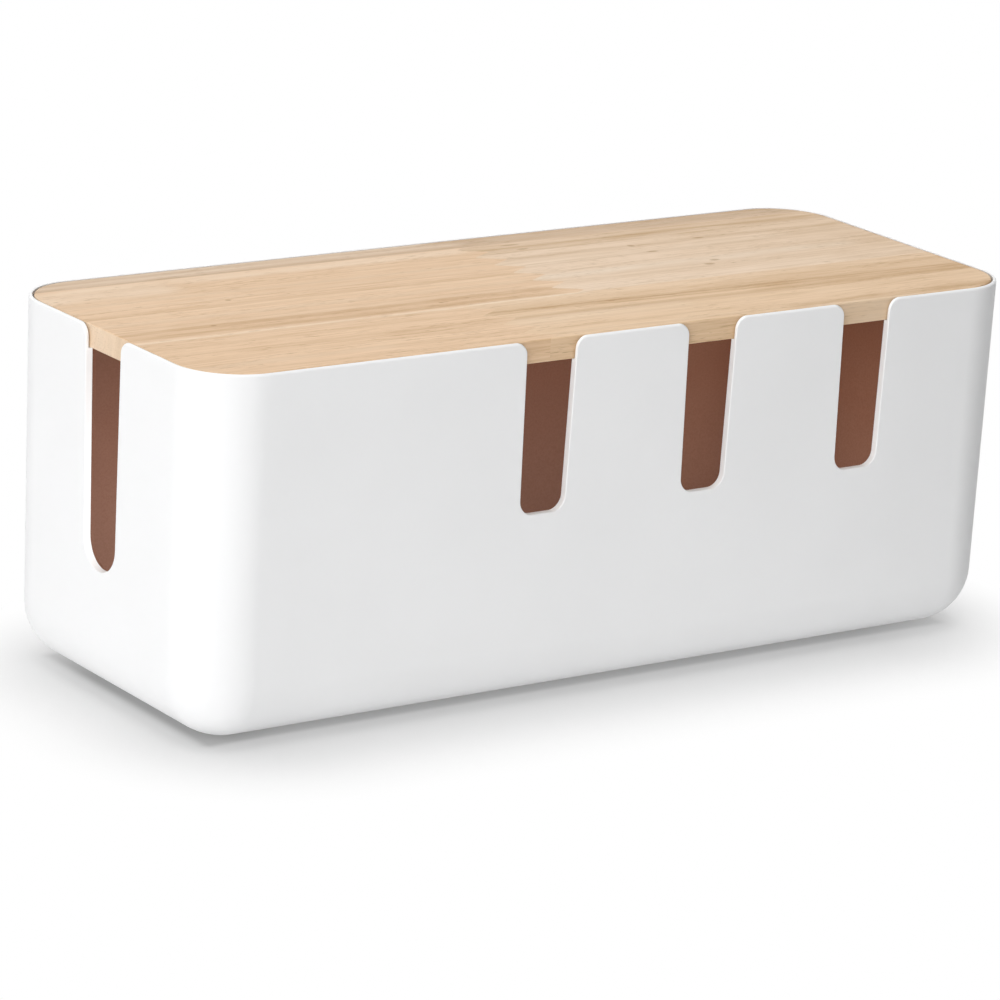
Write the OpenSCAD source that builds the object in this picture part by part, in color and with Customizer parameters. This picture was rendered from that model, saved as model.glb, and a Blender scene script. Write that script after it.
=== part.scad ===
// Cable management box: a moulded tub with cord slots, a lining and a drop-in lid of glued boards.
// Millimetres. The origin is on the surface the box stands on, under the middle of the case.
// X runs along the case, Y across it and Z up. The front wall faces -Y.

/* [Case] */
// Length of the case at the rim
case_l = 305; // [285:1:420]
// Width of the case at the rim
case_w = 120.5; // [105:0.5:180]
// Height of the case from its underside to the rim
case_h = 115.4; // [95:0.1:160]
// Thickness of the moulded walls
wall_t = 2.5; // [2:0.1:3]
// Thickness of the rim, which stands on the walls' outer side and round the lid
rim_t = 1.1; // [0.9:0.05:1.4]
// Thickness of the moulded floor
floor_t = 2.6; // [2:0.1:4]
// Lean of the walls from upright, in degrees, which lets the case leave its mould
draft = 0.7; // [0.25:0.05:1.5]
// Radius of the upright corners at the rim
corner_r = 20.7; // [16:0.1:30]
// Radius between the walls and the underside
base_r = 18.7; // [6:0.1:18.7]
// Rounding of the rim's edges
rim_r = 0.4; // [0.2:0.05:0.4]
// Rounding along the ledge inside the rim
ledge_r = 0.2; // [0.1:0.05:0.3]

/* [Front slots] */
// Number of cord slots in the front wall
front_slots = 3; // [1:1:4]
// Distance from one front slot to the next
front_slot_pitch = 60.4; // [30:0.1:62]
// Distance from the middle of the case to the middle of the row of slots
front_slot_offset = 28.6; // [-32:0.1:32]
// Width of a front slot at the rim
front_slot_top_w = 18.3; // [16.6:0.1:22]
// Width of a front slot at its bottom
front_slot_base_w = 16.4; // [12:0.1:18]
// Depth of a front slot below the rim
front_slot_depth = 54.6; // [30:0.2:75]
// Radius of a front slot's bottom corners
front_slot_r = 4.8; // [1:0.1:5.5]

/* [End slot] */
// Width of the left end's slot at the rim
end_slot_top_w = 20.4; // [18.4:0.1:26]
// Width of the end slot just above its round bottom
end_slot_base_w = 18.2; // [12:0.1:20.4]
// Depth of the end slot below the rim
end_slot_depth = 74.2; // [30:0.2:76]

/* [All slots] */
// Rounding of the rim where it turns down into a slot
slot_mouth_r = 4; // [1:0.1:6]

/* [Lining] */
// Thickness of the lining, whose upper edge carries the lid together with the case's ledge
lining_t = 1.8; // [1.4:0.1:2.4]
// Gap between the lining's walls and the case
lining_gap = 0.3; // [0.2:0.05:0.6]
// Distance that the lining's slots stand back from the edges of the case's slots
lining_slot_margin = 1.6; // [0:0.1:2.4]
// Rounding of the lining's upper edges
lining_edge_r = 0.3; // [0.1:0.05:0.5]

/* [Lid] */
// Thickness of the lid's boards
lid_t = 7.3; // [5:0.1:12]
// Distance that the lid stands above the rim
lid_proud = 0; // [-1:0.1:3]
// Gap between the lid's edge and the rim, at the lid's underside
lid_gap = 0.5; // [0.3:0.05:0.7]
// Rounding of the lid's upper edge
lid_top_r = 0.5; // [0.3:0.1:2]
// Rounding of the lid's lower edge
lid_under_r = 0.4; // [0.2:0.1:0.6]

/* [Lid boards] */
// Width of the front row of boards
front_row_w = 43.9; // [30:0.1:46]
// Width of the back row, which is one board
back_row_w = 9.7; // [5:0.1:30]
// Distance from the middle of the case to the joint in the front row
front_joint_x = -31.5; // [-110:0.5:110]
// Distance from the middle of the case to the joint in the middle row
middle_joint_x = 9.5; // [-110:0.5:110]
// Length of the joint fingers
finger_l = 8; // [4:0.5:12]
// Spacing of the joint fingers
finger_pitch = 5.2; // [3.5:0.1:9]
// Width of a finger's blunt tip
finger_tip_w = 0.8; // [0.4:0.1:1.4]

/* [Feet] */
// Diameter of a foot
foot_d = 14; // [8:0.5:18]
// Thickness of a foot
foot_t = 2.2; // [1.8:0.1:2.8]
// Distance that a foot stands out below the case
foot_proud = 1; // [0.5:0.1:1.4]
// Gap round a foot in its pocket
foot_gap = 0.2; // [0.1:0.05:0.5]
// Rounding of a foot's lower edge
foot_edge_r = 0.4; // [0.2:0.1:0.5]
// Distance from a foot's middle to the end of the case
foot_inset_x = 38; // [32:0.5:60]
// Distance from a foot's middle to the side of the case
foot_inset_y = 34; // [32:0.5:42]

/* [Hidden] */

// Facets to a full circle
$fn = 96;
// Degrees from one point of an arc to the next, and the same for a radius under small_r
arc_step = 7.5;
small_arc_step = 22.5;
small_r = 3;
// Distance that a cutting shape runs past the face it cuts
overcut = 5;

// Colours
case_white = [0.95, 0.95, 0.94];
lining_brown = [0.44, 0.29, 0.22];
board_tan = [0.87, 0.74, 0.60];
board_pale = [0.88, 0.79, 0.69];
board_pink = [0.84, 0.68, 0.56];
foot_grey = [0.30, 0.30, 0.31];

// Heights above the surface the box stands on
under_z = foot_proud;
floor_z = under_z + floor_t;
rim_z = under_z + case_h;
lid_top_z = rim_z + lid_proud;
seat_z = lid_top_z - lid_t;

// Distance that a wall moves inwards for each millimetre down from the rim
lean = tan(draft);

// Radius under the case, which leaves a little flat at the heart of each corner
corner_flat = 0.5;
base_fillet = min(base_r, corner_r - lean * case_h - corner_flat);
// The same radius inside the case and under the lining
inner_fillet = base_fillet - wall_t;

// How far in from the rim's outer edge things lie at the height of the lid's seat
seat_inset = lean * (rim_z - seat_z);
wall_inset = wall_t + seat_inset;
lid_inset = rim_t + seat_inset + lid_gap;
lining_outer_inset = wall_inset + lining_gap;
lining_inner_inset = lining_outer_inset + lining_t;

// Edges of the rows of boards
lid_front_y = -case_w / 2 + lid_inset;
lid_back_y = case_w / 2 - lid_inset;
row_1_y = lid_front_y + front_row_w;
row_2_y = lid_back_y - back_row_w;
lid_end_x = case_l / 2 - lid_inset;

// ---------- Flat shapes ----------

// Points along an arc about [cx, cz]. They lie on a grid of a thousandth of a millimetre, so that
// sections which meet in a corner share their points exactly.
function arc(cx, cz, r, angle_1, angle_2) =
    let (steps = ceil(abs(angle_2 - angle_1) / (r < small_r ? small_arc_step : arc_step)))
    [
        for (i = [0:steps]) let (angle = angle_1 + (angle_2 - angle_1) * i / steps)
            [gridded(cx + r * cos(angle)), gridded(cz + r * sin(angle))]
    ];

function gridded(v) = round(v * 1000) / 1000;

// Outline of the right half of a block's section, which is shift wider than it would be with the
// reach alone. Its middle is the upright line x = 0, and reach + shift is the distance from there to
// its side at the height top_z. The side leans in by lean towards base_z.
module block_half(reach, base_z, top_z, base_round, top_round, lean, shift = 0) {
    slope = atan(lean);
    // Distances from the middle to the centres of the rounds at the foot and the head of the side
    base_cx = reach - lean * (top_z - base_z - base_round) - base_round / cos(slope);
    top_cx = reach - lean * top_round - top_round / cos(slope);
    side = concat(
        arc(base_cx, base_z + base_round, base_round, -90, -slope),
        arc(top_cx, top_z - top_round, top_round, -slope, 90)
    );
    polygon(concat([[0, base_z]], shifted(side, shift), [[0, top_z]]));
}

// Outline of the right half of a pocket's section: a block's section whose mouth flares at the
// height top_z, so that the edge left round the mouth has the radius mouth_round.
module pocket_half(reach, base_z, top_z, base_round, mouth_round, lean, shift = 0) {
    slope = atan(lean);
    base_cx = reach - lean * (top_z - base_z - base_round) - base_round / cos(slope);
    mouth_cx = reach - lean * mouth_round + mouth_round / cos(slope);
    side = concat(
        arc(base_cx, base_z + base_round, base_round, -90, -slope),
        arc(mouth_cx, top_z - mouth_round, mouth_round, 180 - slope, 90),
        [[gridded(mouth_cx), top_z + overcut]]
    );
    polygon(concat([[0, base_z]], shifted(side, shift), [[0, top_z + overcut]]));
}

function shifted(points, shift) = [for (p = points) p + [shift, 0]];

// A half section and its mirror image
module both_halves() {
    children();
    mirror([1, 0]) children();
}

// ---------- Solids ----------

// Stands a flat section upright, facing along X, and draws it out over the length len
module along_x(len) {
    translate([-len / 2, 0, 0]) rotate([90, 0, 90]) linear_extrude(len) children();
}

// Carries a section round a rounded rectangle. The first child is the section's right half with the
// reach r, for the corners and the ends. The second is the same half, shifted out to the reach half_w.
module carried_round(half_l, half_w, r) {
    along_x(2 * (half_l - r)) both_halves() children(1);
    for (end = [0, 180]) {
        rotate([0, 0, end]) translate([half_l - r, 0, 0]) {
            translate([0, half_w - r, 0]) rotate([90, 0, 0]) linear_extrude(2 * (half_w - r)) children(0);
            for (side = [0, 1]) {
                mirror([0, side, 0]) translate([0, half_w - r, 0]) rotate_extrude(angle = 90) children(0);
            }
        }
    }
}

// Solid block with leaning sides and round edges
module moulded_block(half_l, half_w, r, base_z, top_z, base_round, top_round, lean) {
    carried_round(half_l, half_w, r) {
        block_half(r, base_z, top_z, base_round, top_round, lean);
        block_half(r, base_z, top_z, base_round, top_round, lean, half_w - r);
    }
}

// The hollow to cut out of such a block
module moulded_pocket(half_l, half_w, r, base_z, top_z, base_round, mouth_round, lean) {
    carried_round(half_l, half_w, r) {
        pocket_half(r, base_z, top_z, base_round, mouth_round, lean);
        pocket_half(r, base_z, top_z, base_round, mouth_round, lean, half_w - r);
    }
}

// Outline of one slot, which narrows from the rim down to its round bottom corners. A margin
// above nought makes the slot that much larger all round.
module slot_outline(top_w, base_w, depth, r, margin) {
    both_halves() pocket_half(
        reach = top_w / 2 + margin,
        base_z = rim_z - depth - margin,
        top_z = rim_z,
        base_round = r + margin,
        mouth_round = slot_mouth_r,
        lean = (top_w - base_w) / 2 / depth
    );
}

// All the slots, as cutters that reach through the walls
module slots(margin) {
    for (i = [0:front_slots - 1]) {
        x = front_slot_offset + (i - (front_slots - 1) / 2) * front_slot_pitch;
        translate([x, 0, 0]) rotate([90, 0, 0]) linear_extrude(case_w / 2 + overcut)
            slot_outline(front_slot_top_w, front_slot_base_w, front_slot_depth, front_slot_r, margin);
    }
    rotate([90, 0, -90]) linear_extrude(case_l / 2 + overcut)
        slot_outline(end_slot_top_w, end_slot_base_w, end_slot_depth, end_slot_base_w / 2, margin);
}

// Places its children at one foot. right and back are -1 or 1.
module at_foot(right, back) {
    translate([right * (case_l / 2 - foot_inset_x), back * (case_w / 2 - foot_inset_y), 0]) children();
}

// ---------- Pieces that stand still ----------

module case() {
    color(case_white) difference() {
        moulded_block(case_l / 2, case_w / 2, corner_r, under_z, rim_z, base_fillet, rim_r, lean);
        moulded_pocket(
            case_l / 2 - wall_inset, case_w / 2 - wall_inset, corner_r - wall_inset,
            floor_z, seat_z, inner_fillet, ledge_r, lean
        );
        moulded_pocket(
            case_l / 2 - rim_t, case_w / 2 - rim_t, corner_r - rim_t,
            seat_z, rim_z, ledge_r, rim_r, lean
        );
        slots(0);
        for (right = [-1, 1], back = [-1, 1]) {
            at_foot(right, back) cylinder(d = foot_d + 2 * foot_gap, h = foot_t);
        }
    }
}

// Thin tub whose upper edge is level with the case's ledge
module lining() {
    color(lining_brown) difference() {
        moulded_block(
            case_l / 2 - lining_outer_inset, case_w / 2 - lining_outer_inset, corner_r - lining_outer_inset,
            floor_z, seat_z, inner_fillet, lining_edge_r, lean
        );
        moulded_pocket(
            case_l / 2 - lining_inner_inset, case_w / 2 - lining_inner_inset, corner_r - lining_inner_inset,
            floor_z + lining_t, seat_z, inner_fillet - lining_t, lining_edge_r, lean
        );
        slots(lining_slot_margin);
    }
}

module foot(right, back) {
    color(foot_grey) at_foot(right, back) rotate_extrude()
        block_half(foot_d / 2, 0, foot_t, foot_edge_r, foot_edge_r, 0);
}

// ---------- Lid ----------

// The whole lid as one slab
module lid_slab() {
    moulded_block(
        case_l / 2 - lid_inset, case_w / 2 - lid_inset, corner_r - lid_inset,
        seat_z, lid_top_z, lid_under_r, lid_top_r, 0
    );
}

function reversed(list) = [for (i = [len(list) - 1:-1:0]) list[i]];

// A straight end, past the edge of the slab
function end_line(side, y_0, y_1) = [for (y = [y_0, y_1]) [side * (lid_end_x + overcut), y]];

// Tips of the fingers across one row, from its front edge y_0 to its back edge y_1
function finger_line(x, y_0, y_1) =
    let (
        count = max(2, round((y_1 - y_0) / finger_pitch)),
        pitch = (y_1 - y_0) / count
    )
    [
        for (i = [0:count - 1]) let (side = i % 2 == 0 ? 1 : -1)
            for (t = [-1, 1])
                [x + side * finger_l / 2, y_0 + (i + 0.5) * pitch + t * finger_tip_w / 2]
    ];

// The part of the slab between its left and right ends, each given as a line of points from the
// front of its row to the back
module board(left_line, right_line) {
    intersection() {
        lid_slab();
        translate([0, 0, seat_z - overcut]) linear_extrude(lid_t + 2 * overcut)
            polygon(concat(left_line, reversed(right_line)));
    }
}

// A finger joint that reaches both edges of its row
function joint_line(x, y_0, y_1) = concat([[x, y_0]], finger_line(x, y_0, y_1), [[x, y_1]]);

front_y_0 = lid_front_y - overcut;
back_y_1 = lid_back_y + overcut;
front_joint = concat([[front_joint_x, front_y_0]], joint_line(front_joint_x, lid_front_y, row_1_y));
middle_joint = joint_line(middle_joint_x, row_1_y, row_2_y);

module lid_front_left_board() {
    color(board_tan) board(end_line(-1, front_y_0, row_1_y), front_joint);
}

module lid_front_right_board() {
    color(board_pale) board(front_joint, end_line(1, front_y_0, row_1_y));
}

module lid_middle_left_board() {
    color(board_tan) board(end_line(-1, row_1_y, row_2_y), middle_joint);
}

module lid_middle_right_board() {
    color(board_pale) board(middle_joint, end_line(1, row_1_y, row_2_y));
}

module lid_back_board() {
    color(board_pink) board(end_line(-1, row_2_y, back_y_1), end_line(1, row_2_y, back_y_1));
}

case();
lining();
lid_front_left_board();
lid_front_right_board();
lid_middle_left_board();
lid_middle_right_board();
lid_back_board();
foot(-1, -1);  // foot_front_left
foot(1, -1);  // foot_front_right
foot(-1, 1);  // foot_back_left
foot(1, 1);  // foot_back_right
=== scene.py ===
"""Cable management box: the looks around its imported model.

Lengths are written in millimetres, as in the model's own source, and multiplied by MM where Blender gets
them. The studio's lamps alone are placed in metres. X runs along the case, Y across it and Z up, with the
origin on the surface the box stands on.
"""
import math

import bpy
from mathutils import Matrix, Vector
from mathutils.geometry import tessellate_polygon


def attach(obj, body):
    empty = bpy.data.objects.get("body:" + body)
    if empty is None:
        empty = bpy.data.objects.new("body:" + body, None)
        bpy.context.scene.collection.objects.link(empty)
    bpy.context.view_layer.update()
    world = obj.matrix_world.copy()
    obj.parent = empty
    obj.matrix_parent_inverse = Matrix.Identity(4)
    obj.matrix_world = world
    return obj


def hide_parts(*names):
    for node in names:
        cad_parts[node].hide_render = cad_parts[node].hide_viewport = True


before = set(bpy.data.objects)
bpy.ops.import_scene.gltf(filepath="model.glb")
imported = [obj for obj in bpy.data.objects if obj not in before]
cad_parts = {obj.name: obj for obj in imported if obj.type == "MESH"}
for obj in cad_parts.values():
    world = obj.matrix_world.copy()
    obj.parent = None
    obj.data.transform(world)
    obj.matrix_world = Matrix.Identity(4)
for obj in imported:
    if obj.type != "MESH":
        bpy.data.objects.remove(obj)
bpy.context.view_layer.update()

MM = 0.001

# ---------------------------------------------------------------- camera

# Where the photograph was taken from, as the fit of the box's edges gave it, with the angles in radians
CAMERA_AT = (-878.684, -1228.593, 485.153)
CAMERA_YAW = 0.617954
CAMERA_PITCH = 0.283049
CAMERA_ROLL = 0.054877
CAMERA_LENS = 178.689
SENSOR = 36
# The furthest that the camera sees, in metres
CAMERA_REACH = 100


def make_camera():
    sin_yaw, cos_yaw = math.sin(CAMERA_YAW), math.cos(CAMERA_YAW)
    sin_pitch, cos_pitch = math.sin(CAMERA_PITCH), math.cos(CAMERA_PITCH)
    forward = Vector((sin_yaw * cos_pitch, cos_yaw * cos_pitch, -sin_pitch))
    level = Vector((cos_yaw, -sin_yaw, 0))
    upright = level.cross(forward)
    sin_roll, cos_roll = math.sin(CAMERA_ROLL), math.cos(CAMERA_ROLL)
    right = cos_roll * level + sin_roll * upright
    up = cos_roll * upright - sin_roll * level
    data = bpy.data.cameras.new("camera")
    data.lens = CAMERA_LENS
    data.sensor_width = SENSOR
    data.clip_end = CAMERA_REACH
    camera = bpy.data.objects.new("camera", data)
    bpy.context.scene.collection.objects.link(camera)
    turn = Matrix((right, up, -forward)).transposed().to_4x4()
    camera.matrix_world = Matrix.Translation(Vector(CAMERA_AT) * MM) @ turn
    bpy.context.scene.camera = camera


make_camera()

# ---------------------------------------------------------------- sizes
# They are those of the model's source, apart from how far edges are rounded.

CASE_L, CASE_W = 305, 120.5
UNDER_Z, RIM_Z = 1, 116.4
WALL_T, FLOOR_T, RIM_T = 2.5, 2.6, 1.1
LEAN = math.tan(math.radians(0.7))
CORNER_R = 20.7
BASE_R = 18.7
# Rounding of the outer and the inner edge, of the rim and of the slots
RIM_R = (0.85, 0.2)
SLOT_EDGE_R = (0.35, 0.3)
SLOT_MOUTH_R = 4
FRONT_SLOTS_X = (-31.8, 28.6, 89.0)
FRONT_SLOT = {"top_w": 18.3, "base_w": 16.4, "depth": 54.6, "base_r": 4.8}
END_SLOT = {"top_w": 20.4, "base_w": 18.2, "depth": 74.2, "base_r": 9.1}
LID_T = 7.3
SEAT_Z = RIM_Z - LID_T
LINING_T, LINING_GAP, LINING_EDGE_R = 1.8, 0.3, (0.3, 0.3)
LINING_SLOT_MARGIN, LINING_MOUTH_R = 1.6, 0.8
LINING_OUTER_INSET = WALL_T + LEAN * (RIM_Z - SEAT_Z) + LINING_GAP
FOOT_D, FOOT_T, FOOT_GAP = 14, 2.2, 0.2
FOOT_INSET_X, FOOT_INSET_Y = 38, 34

# The slots as (wall, middle along the wall, size). The front wall is the first and the left the last.
SLOTS = [(0, x + CASE_L / 2 - CORNER_R, FRONT_SLOT) for x in FRONT_SLOTS_X]
SLOTS.append((3, CASE_W / 2 - CORNER_R, END_SLOT))

# Steps round an upright corner, a base round, a slot's arcs, a foot's pocket and an edge's quarter round
CORNER_STEPS = 20
BASE_STEPS = 14
ARC_STEPS = 12
POCKET_STEPS = 48
EDGE_STEPS = 4
# Places that agree to this many decimals of a millimetre are one point
SAME_PLACE_DECIMALS = 6

# ---------------------------------------------------------------- meshes


class Skin:
    """A closed mesh whose every face corner is given its own normal."""

    def __init__(self):
        self.points = []
        self.numbers = {}
        self.faces = []

    def corner(self, point, normal):
        """A point, new or met before, as the (number, normal) that faces are made from."""
        place = tuple(round(c, SAME_PLACE_DECIMALS) for c in point)
        number = self.numbers.setdefault(place, len(self.points))
        if number == len(self.points):
            self.points.append(Vector(point) * MM)
        return number, Vector(normal).normalized()

    def face(self, corners):
        self.faces.append(corners)

    def strip(self, low, high, closed=True):
        """Quads between two rows of corners, facing where low is seen to run to the right under high."""
        count = len(low)
        for i in range(count if closed else count - 1):
            j = (i + 1) % count
            self.face([low[i], low[j], high[j], high[i]])

    def make(self, name, material):
        mesh = bpy.data.meshes.new(name)
        mesh.from_pydata(self.points, [], [[number for number, _ in corners] for corners in self.faces])
        mesh.materials.append(material)
        for polygon in mesh.polygons:
            polygon.use_smooth = True
        mesh.normals_split_custom_set([normal for corners in self.faces for _, normal in corners])
        piece = bpy.data.objects.new(name, mesh)
        bpy.context.scene.collection.objects.link(piece)
        return piece


def with_normal(corners, normal):
    """The same corners, all with one normal."""
    return [(number, Vector(normal)) for number, _ in corners]


class Tub:
    """A moulded tub whose walls lean in towards the base, with slots cut down from its rim.

    A place on the wall is a centre, which is a point of the rectangle that the corner arcs' middles mark
    out, and the level directions out of the wall and along it. The perimeter runs anticlockwise from the
    front wall, and each wall is followed by the corner at its end.

    inset is the tub's distance inside the case's outer face. ledge is the thickness of the rim and the
    height of the ledge inside it. Without a ledge the rim is as thick as the wall."""

    def __init__(self, inset, rim_z, under_z, wall_t, floor_t, base_r, rim_r, mouth_r, slot_margin,
                 ledge=None):
        self.corner_r = CORNER_R - inset
        self.rim_z, self.under_z, self.floor_z = rim_z, under_z, under_z + floor_t
        self.wall_t, self.base_r = wall_t, base_r
        self.rim_r, self.mouth_r = rim_r, mouth_r
        self.slot_margin = slot_margin
        self.rim_t, self.ledge_z = ledge or (wall_t, None)
        self.slope = math.atan(LEAN)
        self.skin = Skin()
        half_x, half_y = CASE_L / 2 - CORNER_R, CASE_W / 2 - CORNER_R
        self.walls = (
            (Vector((-half_x, -half_y)), Vector((1, 0)), 2 * half_x),
            (Vector((half_x, -half_y)), Vector((0, 1)), 2 * half_y),
            (Vector((half_x, half_y)), Vector((-1, 0)), 2 * half_x),
            (Vector((-half_x, half_y)), Vector((0, -1)), 2 * half_y),
        )

    def columns(self, wall):
        """Centre, out and along of each column of the corner after a wall."""
        start, along, length = self.walls[wall]
        first = math.atan2(-along.x, along.y)
        found = []
        for i in range(CORNER_STEPS + 1):
            angle = first + math.pi / 2 * i / CORNER_STEPS
            out = Vector((math.cos(angle), math.sin(angle)))
            found.append((start + along * length, out, Vector((-out.y, out.x))))
        return found

    def slot_edge(self, size):
        """Half of a slot's edge, from the rim down to its bottom, as (across, z, normal across, normal up,
        roundings), where across is the distance from the slot's middle line."""
        lean = (size["top_w"] - size["base_w"]) / 2 / size["depth"]
        slope = math.atan(lean)
        reach = size["top_w"] / 2 + self.slot_margin - lean * (RIM_Z - self.rim_z)
        base_r = size["base_r"] + self.slot_margin
        base_z = RIM_Z - size["depth"] - self.slot_margin
        base_c = reach - lean * (self.rim_z - base_z - base_r) - base_r / math.cos(slope)
        mouth_c = reach - lean * self.mouth_r + self.mouth_r / math.cos(slope)
        mouth, base = [], []
        for i in range(ARC_STEPS + 1):
            share = i / ARC_STEPS
            # The rim's rounding turns into the slot's in a smooth step down the mouth
            rounding = Vector(self.rim_r).lerp(SLOT_EDGE_R, share * share * (3 - 2 * share))
            angle = math.pi / 2 + (slope - math.pi / 2) * share
            across, up = -math.cos(angle), math.sin(angle)
            z = self.rim_z - self.mouth_r + self.mouth_r * up
            mouth.append((mouth_c + self.mouth_r * across, z, across, up, rounding))
            angle = slope + (math.pi / 2 - slope) * share
            across, up = math.cos(angle), -math.sin(angle)
            base.append((base_c + base_r * across, base_z + base_r + base_r * up, -across, -up, SLOT_EDGE_R))
        if self.ledge_z is not None:
            across = reach - lean * (self.rim_z - self.ledge_z)
            mouth.append((across, self.ledge_z, -math.cos(slope), math.sin(slope), SLOT_EDGE_R))
        return mouth + base

    def slot_runs(self, wall, middle, size):
        """The edge of a slot, from the left over its bottom to the right, as runs of (centre, out, along, z,
        normal along, normal up, roundings).

        A ledge parts it into three, of which the middle one lies below the ledge."""
        start, along, _ = self.walls[wall]
        out = Vector((along.y, -along.x))
        samples = []
        half = self.slot_edge(size)
        for side, part in ((-1, half), (1, reversed(half))):
            for across, z, n_across, n_up, rounding in part:
                centre = start + along * (middle + side * across)
                samples.append((centre, out, along, z, side * n_across, n_up, rounding))
        if self.ledge_z is None:
            return [samples]
        left, right = (i for i, sample in enumerate(samples) if sample[3] == self.ledge_z)
        return [samples[:left + 1], samples[left:right + 1], samples[right:]]

    def across_wall(self, wall_t, centre, out, along, z, n_along, n_up, roundings):
        """Corners from the wall's outer face over its rounded edge to its inner face."""
        face_normal = Vector((out.x, out.y, -LEAN))
        edge_normal = Vector((along.x * n_along, along.y * n_along, n_up))
        places = []
        for side, rounding, face_depth in zip((1, -1), roundings, (0, wall_t)):
            for i in range(EDGE_STEPS + 1):
                angle = math.pi / 2 * (i if side == 1 else EDGE_STEPS - i) / EDGE_STEPS
                depth = face_depth + side * rounding * (1 - math.cos(angle))
                places.append((side, angle, rounding * (1 - math.sin(angle)), depth))
        if wall_t != self.rim_t:
            # A corner where the rim's inner edge stands on the wall
            places.insert(EDGE_STEPS + 1, (1, math.pi / 2, 0, self.rim_t - roundings[1]))
        row = []
        for side, angle, back, depth in places:
            point_z = z - n_up * back
            reach = self.corner_r - LEAN * (self.rim_z - point_z) - depth
            flat = centre - along * n_along * back + out * reach
            normal = side * face_normal * math.cos(angle) + edge_normal * math.sin(angle)
            row.append(self.skin.corner((flat.x, flat.y, point_z), normal))
        return row

    def rings(self, round_r, depth, base_z, facing):
        """Rings of corners down a base round, from the foot of the leaning wall to the flat."""
        centre_z = base_z + round_r
        centre_in = LEAN * (self.rim_z - centre_z) + round_r / math.cos(self.slope) + depth
        rings = []
        for i in range(BASE_STEPS + 1):
            angle = self.slope + (math.pi / 2 - self.slope) * i / BASE_STEPS
            reach = self.corner_r - centre_in + round_r * math.cos(angle)
            z = centre_z - round_r * math.sin(angle)
            ring = []
            for wall in range(len(self.walls)):
                for centre, out, _ in self.columns(wall):
                    flat = centre + out * reach
                    normal = Vector((out.x * math.cos(angle), out.y * math.cos(angle), -math.sin(angle)))
                    ring.append(self.skin.corner((flat.x, flat.y, z), facing * normal))
            rings.append(ring)
        return rings

    def underside(self, border, pockets):
        """The flat under the tub, with a round pocket for each foot."""
        down = Vector((0, 0, -1))
        loops = [with_normal(border, down)]
        for x, y in pockets:
            radius = FOOT_D / 2 + FOOT_GAP
            mouth, roof = [], []
            for i in range(POCKET_STEPS):
                angle = 2 * math.pi * i / POCKET_STEPS
                out = Vector((math.cos(angle), math.sin(angle), 0))
                mouth.append(self.skin.corner((x + radius * out.x, y + radius * out.y, self.under_z), -out))
                roof.append(self.skin.corner((x + radius * out.x, y + radius * out.y, FOOT_T), -out))
            self.skin.strip(roof, mouth)
            self.skin.face(with_normal(reversed(roof), down))
            loops.append(with_normal(mouth, down))
        flat = [corner for loop in loops for corner in loop]
        for triangle in tessellate_polygon([[self.skin.points[n] for n, _ in loop] for loop in loops]):
            a, b, c = (self.skin.points[flat[i][0]] for i in triangle)
            if (b - a).cross(c - a).z > 0:
                triangle = tuple(reversed(triangle))
            self.skin.face([flat[i] for i in triangle])

    def build(self, name, material, pockets=()):
        skin = self.skin
        outer = self.rings(self.base_r, 0, self.under_z, 1)
        inner = self.rings(self.base_r - self.wall_t, self.wall_t, self.floor_z, -1)
        for upper, lower in zip(outer, outer[1:]):
            skin.strip(lower, upper)
        for upper, lower in zip(inner, inner[1:]):
            skin.strip(upper, lower)
        skin.face(with_normal(inner[-1], (0, 0, 1)))
        self.underside(outer[-1], pockets)
        columns = [self.columns(wall) for wall in range(len(self.walls))]
        corners = [[self.across_rim(*column) for column in found] for found in columns]
        ledges = [[self.across_ledge(*column) for column in found] for found in columns]
        for wall in range(len(self.walls)):
            self.flat_side(wall, outer[0], inner[0], corners, ledges)
            self.corner_side(wall, outer[0], inner[0], corners[wall], ledges[wall])
        return skin.make(name, material)

    def flat_side(self, wall, outer_foot, inner_foot, corners, ledges):
        """A wall between two corners, with its slots, above the rings at its foot."""
        right = wall * (CORNER_STEPS + 1)
        left = right - 1
        start, end = corners[wall - 1][-1], corners[wall][0]
        ledge_start, last_ledge = ledges[wall - 1][-1], ledges[wall][0]
        outer_top, inner_top = [start[0]], [(ledge_start or start)[-1]]
        stretch = [start]
        for slot_wall, middle, size in SLOTS:
            if slot_wall != wall:
                continue
            runs = self.slot_runs(wall, middle, size)
            if self.ledge_z is None:
                rows = [self.across_wall(self.rim_t, *sample) for sample in runs[0]]
                stretch += rows
                outer_top += [row[0] for row in rows]
                inner_top += [row[-1] for row in rows]
                continue
            before, below, after = (
                [self.across_wall(wall_t, *sample) for sample in run]
                for run, wall_t in zip(runs, (self.rim_t, self.wall_t, self.rim_t))
            )
            self.rim_stretch(stretch + before, ledge_start, self.ledge_end(before[-1], below[0]))
            self.cut_face(below)
            stretch, ledge_start = after, self.ledge_end(after[0], below[-1])
            outer_top += [row[0] for row in before + below[1:-1] + after]
            inner_top += [row[-1] for row in below]
        self.rim_stretch(stretch + [end], ledge_start, last_ledge)
        outer_top.append(end[0])
        inner_top.append((last_ledge or end)[-1])
        self.skin.face([outer_foot[left], outer_foot[right]] + outer_top[::-1])
        self.skin.face([inner_foot[right], inner_foot[left]] + inner_top)

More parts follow.
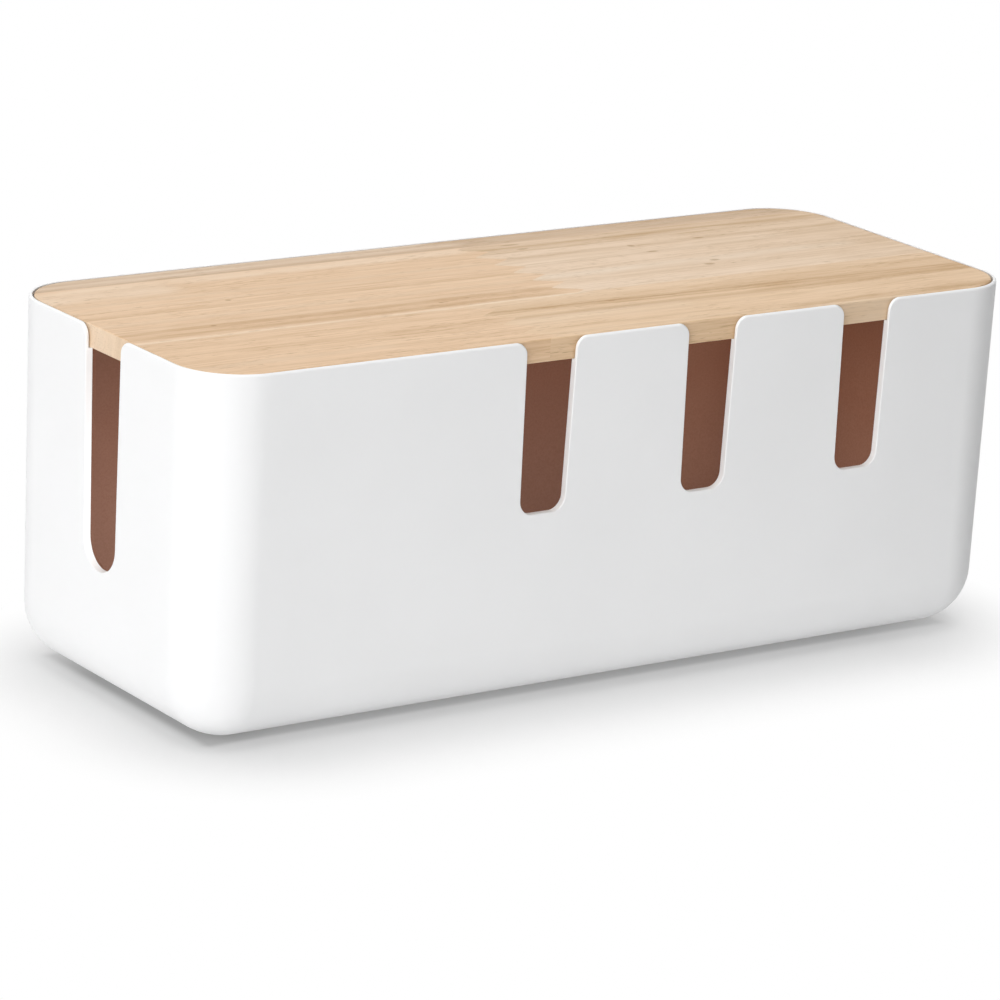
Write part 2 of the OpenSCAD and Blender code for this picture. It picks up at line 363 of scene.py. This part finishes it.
    def corner_side(self, wall, outer_foot, inner_foot, rows, ledges):
        """The corner after a wall, above the rings at its foot."""
        skin = self.skin
        self.cut_face(rows)
        for i in range(CORNER_STEPS):
            row, next_row = rows[i:i + 2]
            ledge, next_ledge = ledges[i:i + 2]
            low = wall * (CORNER_STEPS + 1) + i
            high = low + 1
            skin.face([outer_foot[low], outer_foot[high], next_row[0], row[0]])
            if ledge:
                skin.face([next_ledge[0], ledge[0], row[-1], next_row[-1]])
                skin.face(with_normal([ledge[0], next_ledge[0], next_ledge[1], ledge[1]], (0, 0, 1)))
                row, next_row = ledge, next_ledge
            skin.face([inner_foot[high], inner_foot[low], row[-1], next_row[-1]])

    def across_rim(self, centre, out, along):
        """Corners over the top of the rim, at one column of an upright corner."""
        return self.across_wall(self.rim_t, centre, out, along, self.rim_z, 0, 1, self.rim_r)

    def across_ledge(self, centre, out, _):
        """Corners at the foot of the rim's inner face and at the top of the wall's, at one column."""
        if self.ledge_z is None:
            return None
        found = []
        for depth in (self.rim_t, self.wall_t):
            flat = centre + out * (self.corner_r - LEAN * (self.rim_z - self.ledge_z) - depth)
            found.append(self.skin.corner((flat.x, flat.y, self.ledge_z), (-out.x, -out.y, LEAN)))
        return found

    def ledge_end(self, rim_row, wall_row):
        """The ledge's edge at a slot, from the rim's inner face to the wall's."""
        inner_half = EDGE_STEPS + 1
        return rim_row[:inner_half - 1:-1] + wall_row[inner_half + 1:]

    def rim_stretch(self, rows, ledge_start, ledge_end):
        """The top of the rim between two slots, with its inner face and the ledge below."""
        self.cut_face(rows)
        if ledge_start:
            feet = [ledge_end[0], ledge_start[0]]
            self.skin.face(
                [foot for foot, row in zip(feet, (rows[-1], rows[0])) if foot[0] != row[-1][0]]
                + [row[-1] for row in rows]
            )
            self.skin.face(with_normal(ledge_start[:1] + ledge_end + ledge_start[:0:-1], (0, 0, 1)))

    def cut_face(self, rows):
        """The edge of the wall, between rows of corners across it."""
        for row, next_row in zip(rows, rows[1:]):
            self.skin.strip(next_row, row, closed=False)


# ---------------------------------------------------------------- materials


class Graph:
    """The shader nodes of a material or a world, made with short calls."""

    def __init__(self, owner):
        self.owner = owner
        owner.use_nodes = True
        self.tree = owner.node_tree
        self.tree.nodes.clear()

    def node(self, kind, inputs=None, **settings):
        """A node whose inputs are set to values or joined to the sockets given."""
        made = self.tree.nodes.new("ShaderNode" + kind)
        for key, value in settings.items():
            setattr(made, key, value)
        for key, value in (inputs or {}).items():
            if isinstance(value, bpy.types.NodeSocket):
                self.tree.links.new(value, made.inputs[key])
            else:
                made.inputs[key].default_value = value
        return made

    def math(self, operation, *values):
        return self.node("Math", dict(enumerate(values)), operation=operation).outputs[0]

    def vector(self, operation, *values):
        return self.node("VectorMath", dict(enumerate(values)), operation=operation).outputs[0]

    def position(self):
        """The place in the piece, in millimetres, which moves with it."""
        place = self.node("TexCoord").outputs["Object"]
        return self.vector("MULTIPLY", place, (1 / MM,) * 3)

    def parts(self, vector):
        """The X, Y and Z of a vector, by name."""
        return self.node("SeparateXYZ", {"Vector": vector}).outputs

    def noise(self, place, scale, detail=2.0, roughness=0.5):
        """Noise from nought to one, with features about 1 / scale millimetres long."""
        moved = self.vector("MULTIPLY", place, scale)
        inputs = {"Vector": moved, "Scale": 1.0, "Detail": detail, "Roughness": roughness}
        return self.node("TexNoise", inputs).outputs["Fac"]

    def bands(self, distance, scale, detail=2.0, roughness=0.5):
        """Noise that changes along one distance only."""
        moved = self.math("MULTIPLY", distance, scale)
        inputs = {"W": moved, "Scale": 1.0, "Detail": detail, "Roughness": roughness}
        return self.node("TexNoise", inputs, noise_dimensions="1D").outputs["Fac"]

    def ramp(self, value, low, high, to_low=0.0, to_high=1.0):
        """A smooth step from to_low at low to to_high at high."""
        inputs = {"Value": value, "From Min": low, "From Max": high, "To Min": to_low, "To Max": to_high}
        return self.node("MapRange", inputs, interpolation_type="SMOOTHSTEP").outputs[0]

    def choose(self, share, first, second):
        """The first number where share is nought and the second where it is one, straight between."""
        inputs = {"Value": share, "To Min": first, "To Max": second}
        return self.node("MapRange", inputs).outputs[0]

    def mix(self, share, first, second):
        """The first colour where share is nought and the second where it is one."""
        made = self.node("Mix", data_type="RGBA")
        # The colour sockets of the Mix node are the seventh and eighth, its share the first
        for index, value in ((0, share), (6, first), (7, second)):
            if isinstance(value, bpy.types.NodeSocket):
                self.tree.links.new(value, made.inputs[index])
            elif index:
                made.inputs[index].default_value = (*value, 1)
            else:
                made.inputs[index].default_value = value
        return made.outputs[2]

    def bump(self, height, depth):
        """Raises the surface by height times depth, in millimetres."""
        return self.node("Bump", {"Height": height, "Distance": depth * MM}).outputs["Normal"]

    def seen(self):
        """One for what the camera sees, straight, in gloss or through glass, and nought for light."""
        path = self.node("LightPath").outputs
        straight_or_gloss = self.math("MAXIMUM", path["Is Camera Ray"], path["Is Glossy Ray"])
        return self.math("MAXIMUM", straight_or_gloss, path["Is Transmission Ray"])

    def finish(self, colour, roughness, normal, **shader):
        inputs = {"Base Color": colour, "Roughness": roughness, "Normal": normal, **shader}
        surface = self.node("BsdfPrincipled", inputs).outputs["BSDF"]
        self.node("OutputMaterial", {"Surface": surface})
        return self.owner


def moulded_plastic():
    """White satin plastic with the faint grain of its mould."""
    g = Graph(bpy.data.materials.new("case_plastic"))
    place = g.position()
    cloud = g.noise(place, (0.02,) * 3, detail=3)
    grain = g.noise(place, (2.2,) * 3, detail=3, roughness=0.6)
    colour = g.mix(g.ramp(cloud, 0.3, 0.7), (0.878, 0.880, 0.884), (0.894, 0.896, 0.900))
    roughness = g.math("ADD", g.ramp(cloud, 0.2, 0.8, 0.36, 0.42), g.math("MULTIPLY", grain, 0.06))
    return g.finish(colour, roughness, g.bump(grain, 0.012), **{"Specular IOR Level": 0.3})


def brown_lining():
    """Matt brown with a fine cloudy grain, paler and less red towards the bottom, which is painted light."""
    g = Graph(bpy.data.materials.new("lining_brown"))
    place = g.position()
    cloud = g.noise(place, (0.03,) * 3, detail=4)
    grain = g.noise(place, (1.6,) * 3, detail=4, roughness=0.6)
    # Painted light: paler towards the bottom, where light comes in through the slots
    colour = g.mix(g.ramp(g.parts(place)["Z"], 15, 90), (0.196, 0.092, 0.058), (0.190, 0.067, 0.031))
    colour = g.mix(g.ramp(cloud, 0.3, 0.7, 0.0, 0.35), colour, (0.24, 0.115, 0.07))
    colour = g.mix(g.ramp(grain, 0.35, 0.75, 0.0, 0.25), colour, (0.13, 0.055, 0.034))
    return g.finish(colour, g.ramp(grain, 0.3, 0.7, 0.6, 0.75), g.bump(grain, 0.03))


def rubber():
    """Dull black rubber."""
    g = Graph(bpy.data.materials.new("foot_rubber"))
    grain = g.noise(g.position(), (4.0,) * 3, detail=3)
    colour = g.mix(g.ramp(grain, 0.3, 0.7), (0.055, 0.055, 0.058), (0.085, 0.085, 0.088))
    return g.finish(colour, g.ramp(grain, 0.3, 0.7, 0.75, 0.9), g.bump(grain, 0.03))


# How far the wood's pale and dark grain go from its own colour, towards white and as a share of it
WOOD_PALE = (0.45, 0.40, 0.34)
WOOD_DARK = (0.55, 0.43, 0.23)
# Share of a pore's own colour in it, that colour as a share of the dark, and the pale's share in the boards'
# # ends, which is painted light
PORE_SHARE, PORE_DARK, ENDS_PAINTED_LIGHT_SHARE = 0.5, 0.65, 0.45
# How far the grain wanders to the side in long and in short waves, and how far a band's edge does
GRAIN_DRIFT, GRAIN_RIPPLE = 6.0, 1.2
BAND_DRIFT, BAND_RIPPLE = 4.0, 1.6
# Length over which a band fades at its ends
BAND_FADE = 12


def band_share(g, own, wander, band):
    """How much a place has of a band of the grain.

    The band is (y, half width, strength, from x, to x, rise per length)."""
    y, half_width, strength, x_0, x_1, rise = band
    line = g.math("ADD", wander, g.math("MULTIPLY", own["X"], -rise))
    off = g.math("ABSOLUTE", g.math("SUBTRACT", line, y))
    shape = g.ramp(off, 0.0, half_width, 1.0, 0.0)
    begun = g.ramp(own["X"], x_0 - BAND_FADE / 2, x_0 + BAND_FADE / 2)
    not_over = g.ramp(own["X"], x_1 - BAND_FADE / 2, x_1 + BAND_FADE / 2, 1.0, 0.0)
    return g.math("MULTIPLY", g.math("MULTIPLY", shape, g.math("MULTIPLY", begun, not_over)), abs(strength))


def fleck_share(g, own, fleck):
    """How much a place has of a fleck, (x, y, half length, half width)."""
    x, y, half_length, half_width = fleck
    along = g.math("DIVIDE", g.math("SUBTRACT", own["X"], x), half_length)
    sideways = g.math("DIVIDE", g.math("SUBTRACT", own["Y"], y), half_width)
    far = g.math("ADD", g.math("MULTIPLY", along, along), g.math("MULTIPLY", sideways, sideways))
    return g.ramp(far, 0.0, 1.0, 1.0, 0.0)


def wood(name, seed, colour, turn, bands, flecks=()):
    """Lacquered wood whose grain runs along X.

    seed is the place in the noise, and turn tips the growth rings over, in degrees. A band is a stretch of
    darker grain, or of paler grain where its strength is below nought. A fleck is a short dark mark."""
    pale = [c + (1 - c) * share for c, share in zip(colour, WOOD_PALE)]
    dark = [c * share for c, share in zip(colour, WOOD_DARK)]
    g = Graph(bpy.data.materials.new(name))
    place = g.position()
    moved = g.vector("ADD", place, seed)
    own = g.parts(place)
    drift = g.noise(moved, (0.007, 0.02, 0.02), detail=2)
    ripple = g.noise(moved, (0.06, 0.3, 0.3), detail=3, roughness=0.6)

    # Growth rings, fibres and clouds of the darker grain
    parts = g.parts(moved)
    tipped = math.radians(turn)
    across = g.math("ADD", g.math("MULTIPLY", parts["Y"], math.cos(tipped)),
                    g.math("MULTIPLY", parts["Z"], math.sin(tipped)))
    across = g.math("ADD", across, g.math("MULTIPLY", drift, GRAIN_DRIFT))
    across = g.math("ADD", across, g.math("MULTIPLY", ripple, GRAIN_RIPPLE))
    rings = g.bands(across, 0.16, detail=4, roughness=0.6)
    fine_rings = g.bands(across, 0.7, detail=3, roughness=0.65)
    fibre = g.noise(moved, (0.05, 1.6, 1.6), detail=4, roughness=0.7)
    cloud = g.noise(moved, (0.012, 0.05, 0.05), detail=3)
    shade = g.mix(g.ramp(rings, 0.42, 0.72, 0.0, 0.20), colour, dark)
    shade = g.mix(g.ramp(rings, 0.5, 0.25, 0.0, 0.12), shade, pale)
    shade = g.mix(g.ramp(fine_rings, 0.45, 0.75, 0.0, 0.17), shade, dark)
    shade = g.mix(g.ramp(fibre, 0.42, 0.72, 0.0, 0.33), shade, dark)
    shade = g.mix(g.ramp(cloud, 0.45, 0.75, 0.0, 0.1), shade, dark)

    # The bands wander with the grain, to either side of their places, and fibres and patches break them up
    wander = g.math("ADD", g.math("MULTIPLY", drift, BAND_DRIFT), g.math("MULTIPLY", ripple, BAND_RIPPLE))
    wander = g.math("ADD", g.math("ADD", own["Y"], wander), -(BAND_DRIFT + BAND_RIPPLE) / 2)
    patch = g.noise(moved, (0.028, 0.12, 0.12), detail=3, roughness=0.6)
    broken = g.math("MULTIPLY", g.ramp(fibre, 0.25, 0.6, 0.65, 1.05), g.ramp(patch, 0.32, 0.68, 0.6, 1.3))
    for band in bands:
        share = g.math("MULTIPLY", band_share(g, own, wander, band), broken)
        strength = band[2]
        shade = g.mix(share, shade, dark if strength > 0 else pale)

    # Painted light: the ends of the boards, whose faces turn along X, are made paler than their other faces
    facing = g.parts(g.node("TexCoord").outputs["Normal"])["X"]
    shade = g.mix(g.ramp(g.math("ABSOLUTE", facing), 0.6, 0.95, 0.0, ENDS_PAINTED_LIGHT_SHARE), shade, pale)

    # Pores, crowded in places, and the flecks
    pores = g.noise(moved, (0.2, 2.4, 2.4), detail=1)
    crowd = g.noise(moved, (0.03, 0.12, 0.12), detail=2)
    pore = g.math("MULTIPLY", g.ramp(pores, 0.60, 0.74), g.ramp(crowd, 0.38, 0.62))
    for fleck in flecks:
        pore = g.math("MAXIMUM", pore, fleck_share(g, own, fleck))
    shade = g.mix(g.math("MULTIPLY", pore, PORE_SHARE), shade, [c * PORE_DARK for c in dark])
    height = g.math("SUBTRACT", g.math("MULTIPLY", fibre, 0.5), pore)
    roughness = g.math("ADD", g.ramp(fibre, 0.3, 0.7, 0.46, 0.56), g.math("MULTIPLY", pore, 0.15))
    return g.finish(shade, roughness, g.bump(height, 0.05))


# ---------------------------------------------------------------- the pieces

feet_at = [
    (right * (CASE_L / 2 - FOOT_INSET_X), back * (CASE_W / 2 - FOOT_INSET_Y))
    for right in (-1, 1) for back in (-1, 1)
]

case = Tub(0, RIM_Z, UNDER_Z, WALL_T, FLOOR_T, BASE_R, RIM_R, SLOT_MOUTH_R, 0, (RIM_T, SEAT_Z))
case_shell = case.build("case_shell", moulded_plastic(), feet_at)
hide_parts("case")
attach(case_shell, "tub")

lining = Tub(
    LINING_OUTER_INSET, SEAT_Z, UNDER_Z + FLOOR_T, LINING_T, LINING_T, BASE_R - WALL_T, LINING_EDGE_R,
    LINING_MOUTH_R, LINING_SLOT_MARGIN,
)
lining_skin = lining.build("lining_skin", brown_lining())
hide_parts("lining")
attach(lining_skin, "tub")

# Places past the ends of the lid, for bands that run to them
LEFT, RIGHT = -160, 160
woods = {
    "lid_front_left_board": wood(
        "wood_front_left", (310, 17, 5), (0.76, 0.53, 0.335), 35,
        bands=(
            (-16.0, 1.6, -0.45, LEFT, -30, 0), (-24, 3, 0.07, LEFT, -30, 0), (-35.5, 3.5, 0.17, -125, -30, 0),
            (-34, 1.1, 0.45, -72, -50, 0), (-37.5, 1.3, 0.45, -74, -52, 0), (-31, 1.1, 0.26, -66, -50, 0),
            (-48, 4, -0.17, LEFT, -80, 0),
        ),
    ),
    "lid_front_right_board": wood(
        "wood_front_right", (40, 91, 33), (0.76, 0.545, 0.35), 50,
        bands=(
            (-15.4, 1.5, -0.68, -34, 12, 0), (-16.5, 3, 0.16, 80, RIGHT, 0),
            (-20.5, 3, 0.15, -34, RIGHT, -0.01), (-21, 6, 0.14, 60, RIGHT, 0),
            (-25, 3, 0.22, 45, RIGHT, -0.01), (-27.3, 4.5, 0.47, -34, RIGHT, -0.022),
            (-26.8, 1.1, 0.6, -34, RIGHT, -0.026), (-29.6, 1.0, 0.52, 10, RIGHT, -0.022),
            (-31, 4.5, 0.28, 70, RIGHT, -0.022), (-34.5, 3.0, 0.47, -34, RIGHT, -0.012),
            (-38, 2.0, 0.2, 60, 110, 0), (-39, 9, -0.17, -34, 35, 0), (-42.5, 1.6, 0.15, -34, RIGHT, 0),
            (-49.5, 1.5, 0.3, -25, 45, 0), (-40, 24, 0.1, 95, RIGHT, 0), (-55, 4.5, 0.1, -34, 62, 0),
            (-55, 4.5, 0.45, 62, RIGHT, 0), (-55, 4.5, 0.35, 115, RIGHT, 0), (-58, 2.0, -0.35, 68, 112, 0),
        ),
    ),
    "lid_middle_left_board": wood(
        "wood_middle_left", (-120, 43, 71), (0.765, 0.535, 0.34), 15,
        bands=(
            (-14.5, 1.8, 0.16, LEFT, 4, 0), (-12.8, 3.4, 0.52, LEFT, 4, 0), (-6.5, 3.6, 0.47, LEFT, 4, 0),
            (-2, 2.5, 0.25, LEFT, 0, 0), (4.5, 3.4, -0.17, LEFT, 4, 0), (13.4, 0.8, 0.26, LEFT, 5, 0),
            (15, 2.8, 0.2, LEFT, 4, 0), (17.5, 0.9, 0.27, -90, 4, 0), (22, 2.2, -0.13, LEFT, 4, 0),
            (28, 3, -0.17, LEFT, 4, 0), (32, 6, 0.07, LEFT, 4, 0), (38, 9, -0.4, LEFT, -105, 0),
            (43, 3, -0.25, -100, 8, 0), (46, 4.5, -0.33, LEFT, 10, 0),
        ),
        flecks=((-97.5, 19, 1.3, 1.1), (-38, -9, 1.2, 0.8), (-118, -6, 1.4, 0.8)),
    ),
    "lid_middle_right_board": wood(
        "wood_middle_right", (77, -60, 12), (0.78, 0.595, 0.43), 65,
        bands=(
            (-10, 6, 0.2, 85, RIGHT, 0), (-2, 4.5, 0.11, 5, RIGHT, 0), (5.8, 5.3, -0.35, 5, 135, 0),
            (21, 4, 0.19, 60, RIGHT, 0), (25.5, 2.2, 0.16, 5, RIGHT, 0), (30, 2.6, 0.32, 5, RIGHT, 0),
            (36.5, 1.8, 0.15, 60, RIGHT, 0), (38, 1.2, 0.34, 5, 120, 0), (42.5, 7, 0.54, 5, RIGHT, 0),
            (43, 1.1, 0.47, 12, RIGHT, 0), (48.5, 3, 0.3, 80, RIGHT, 0), (48.5, 2.5, 0.27, 5, RIGHT, 0),
            (26, 36, 0.12, 85, RIGHT, 0), (8, 42, 0.13, 118, RIGHT, 0), (22, 34, 0.13, 138, RIGHT, 0),
        ),
        flecks=(
            (62.5, 30, 1.6, 1.7), (25.5, 46, 5.0, 0.9), (26.5, 40, 3.0, 1.0), (90.5, 31, 3.0, 1.0),
            (64.5, 21, 3.0, 1.1), (72, 0, 2.6, 1.6), (77, 4, 2.4, 1.4),
        ),
    ),
    "lid_back_board": wood(
        "wood_back", (5, 230, 44), (0.63, 0.455, 0.305), 25,
        bands=(
            (49.6, 1.5, 0.25, LEFT, 10, 0), (53, 2.0, -0.3, LEFT, RIGHT, 0), (56.5, 1.8, 0.3, 0, RIGHT, 0),
            (57.5, 2.0, -0.45, LEFT, 0, 0), (53, 4.0, 0.45, 10, RIGHT, 0),
        ),
    ),
}
foot_names = ("foot_front_left", "foot_front_right", "foot_back_left", "foot_back_right")
rubbers = dict.fromkeys(foot_names, rubber())
for node_name, material in {**woods, **rubbers}.items():
    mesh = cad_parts[node_name].data
    mesh.materials.clear()
    mesh.materials.append(material)

# ---------------------------------------------------------------- floor and light

# Half of the floor's side
FLOOR_HALF = 12000
# The floor looks white beyond WHITE_FROM to WHITE_TO from a block, given as its middle and half sides
WHITE_MIDDLE, WHITE_HALF = (-5, -6.5, 0), (109, 22.8, 0)
WHITE_FROM, WHITE_TO = 7.5, 81
# Round the outline of the case's base the floor is painted darker, a painted shadow over its real shadow. It
# is
# # darker close to the base, and more so past the ends, which begin gradually between these distances from
# the middle
BASE_HALF = (138.9, 46, 0)
ENDS_FROM, ENDS_TO = 110.7, 151.5
SEEN_NEAR, SEEN_ROUND, SEEN_WITHIN = 0.45, 0.67, 3.7
SEEN_PAST_ENDS, PAST_ENDS_WITHIN = 0.62, 7
# Along the sides some white lightens it, painted light over that painted shadow
SIDES_LIFT, SIDES_LIFT_WITHIN = 0.175, 29.4
# Share of its light that the floor sends back to the box. A stretch past the right end sends less. It begins
# and ends gradually, between these places along X.
FLOOR_LIT, FLOOR_LIT_DARK = 0.93, 0.5
DARK_FROM, DARK_TO = (135, 215), (300, 600)
# Light of its own that the floor beside the base sends to the box
BASE_GLOW, BASE_GLOW_WITHIN = 0.15, 35
# Light that the surroundings send, from the left end of X and from the right. In gloss they look white.
WORLD_LIGHT = (0.43, 0.0)
# Soft square lamps, as (name, light on what faces them at the origin, place and side in metres)
LAMPS = (
    ("key", 0.382, (-1.5, -1.3, 0.8), 1.4),
    ("top", 0.64, (0.0, 0.0, 2.0), 1.6),
    ("left", 0.178, (-1.9, -0.55, 0.45), 1.2),
    ("back", 0.05, (0.2, 1.5, 1.4), 1.6),
)
# Lamps inside the case that light the lining, as (name, light of their face, place, the way they face,
# length, height)
INSIDE_LAMPS = (
    ("inside_back", 1.7, (25, -36, 45), (0, 1, 0), 240, 75),
    ("inside_left", 2.3, (-108, -36, 48), (0, 1, 0), 72, 84),
    ("inside_left_back", 0.65, (-112, 22, 36), (0, 1, 0), 62, 64),
    ("inside_right", 1.6, (76, 2, 45), (1, 0, 0), 58, 70),
)


def distance_beyond(g, place, middle, half):
    """Distance of a place on the floor from a block, given as its middle and half sides."""
    off = g.vector("SUBTRACT", g.vector("ABSOLUTE", g.vector("SUBTRACT", place, middle)), half)
    return g.node("VectorMath", {0: g.vector("MAXIMUM", off, (0, 0, 0))}, operation="LENGTH").outputs["Value"]


def floor_material():
    """White where it is seen, but for the box's shadow, which is real and also painted darker round the base,
    and nearly white to the light.
    """
    g = Graph(bpy.data.materials.new("floor"))
    place = g.position()
    x = g.parts(place)["X"]
    along = g.math("ABSOLUTE", x)
    beyond = distance_beyond(g, place, (0, 0, 0), BASE_HALF)
    seen = g.seen()

    # How much of the light on it is shown, less round the base as painted shade, and how much is sent back to
    # the box
    past_ends = g.math("MULTIPLY", g.ramp(along, ENDS_FROM, ENDS_TO),
                       g.ramp(beyond, 0, PAST_ENDS_WITHIN, 1.0, 0.0))
    shown = g.math("MULTIPLY", g.ramp(beyond, 0, SEEN_WITHIN, SEEN_NEAR, SEEN_ROUND),
                   g.ramp(past_ends, 0, 1, 1.0, SEEN_PAST_ENDS))
    dark = g.math("MULTIPLY", g.ramp(x, *DARK_FROM), g.ramp(x, *DARK_TO, 1.0, 0.0))
    sent = g.ramp(dark, 0, 1, FLOOR_LIT, FLOOR_LIT_DARK)
    lit = g.node("BsdfDiffuse", {"Color": g.choose(seen, sent, shown)}).outputs["BSDF"]

    # How much of it is plain white instead, which also lightens the shade along the sides as painted light,
    # and how much glows
    lift = g.math("MULTIPLY", g.ramp(along, ENDS_FROM, ENDS_TO, 1.0, 0.0),
                  g.ramp(beyond, 0, SIDES_LIFT_WITHIN, SIDES_LIFT, 0.0))
    white = g.ramp(distance_beyond(g, place, WHITE_MIDDLE, WHITE_HALF), WHITE_FROM, WHITE_TO, lift, 1.0)
    glow = g.ramp(beyond, 0, BASE_GLOW_WITHIN, BASE_GLOW, 0.0)
    plain = g.node("Emission", {"Strength": 1.0}).outputs["Emission"]
    surface = g.node("MixShader", {0: g.choose(seen, glow, white), 1: lit, 2: plain}).outputs["Shader"]
    g.node("OutputMaterial", {"Surface": surface})
    return g.owner


def make_floor():
    mesh = bpy.data.meshes.new("floor")
    h = FLOOR_HALF * MM
    mesh.from_pydata([(-h, -h, 0), (h, -h, 0), (h, h, 0), (-h, h, 0)], [], [(0, 1, 2, 3)])
    mesh.materials.append(floor_material())
    floor = bpy.data.objects.new("floor", mesh)
    bpy.context.scene.collection.objects.link(floor)


def make_world():
    """Surroundings that look white and light the box from the left more than from the right."""
    g = Graph(bpy.data.worlds.new("studio"))
    seen = g.seen()
    towards = g.parts(g.node("TexCoord").outputs["Generated"])["X"]
    left, right = WORLD_LIGHT
    inputs = {"Value": towards, "From Min": -1.0, "To Min": left, "To Max": right}
    strength = g.choose(seen, g.node("MapRange", inputs).outputs[0], 1.0)
    surface = g.node("Background", {"Color": (1, 1, 1, 1), "Strength": strength}).outputs[0]
    g.node("OutputWorld", {"Surface": surface})
    bpy.context.scene.world = g.owner


def make_lamp(name, light, place, turn, length, height):
    """A soft oblong lamp, whose power is light times pi times the area of its face. Lengths are in metres."""
    data = bpy.data.lights.new(name, "AREA")
    data.shape = "RECTANGLE"
    data.size, data.size_y = length, height
    data.energy = light * math.pi * length * height
    lamp = bpy.data.objects.new(name, data)
    bpy.context.scene.collection.objects.link(lamp)
    lamp.location = place
    lamp.rotation_mode = "QUATERNION"
    lamp.rotation_quaternion = turn
    return lamp


make_floor()
make_world()
for name, light, place, side in LAMPS:
    place = Vector(place)
    face_light = light * math.pi * (place.length / side) ** 2
    make_lamp(name, face_light, place, place.to_track_quat("Z", "Y"), side, side)
for name, light, place, facing, length, height in INSIDE_LAMPS:
    turn = (-Vector(facing)).to_track_quat("Z", "Y")
    lamp = make_lamp(name, light, Vector(place) * MM, turn, length * MM, height * MM)
    lamp.visible_camera = False

scene = bpy.context.scene
scene.view_settings.view_transform = "Standard"
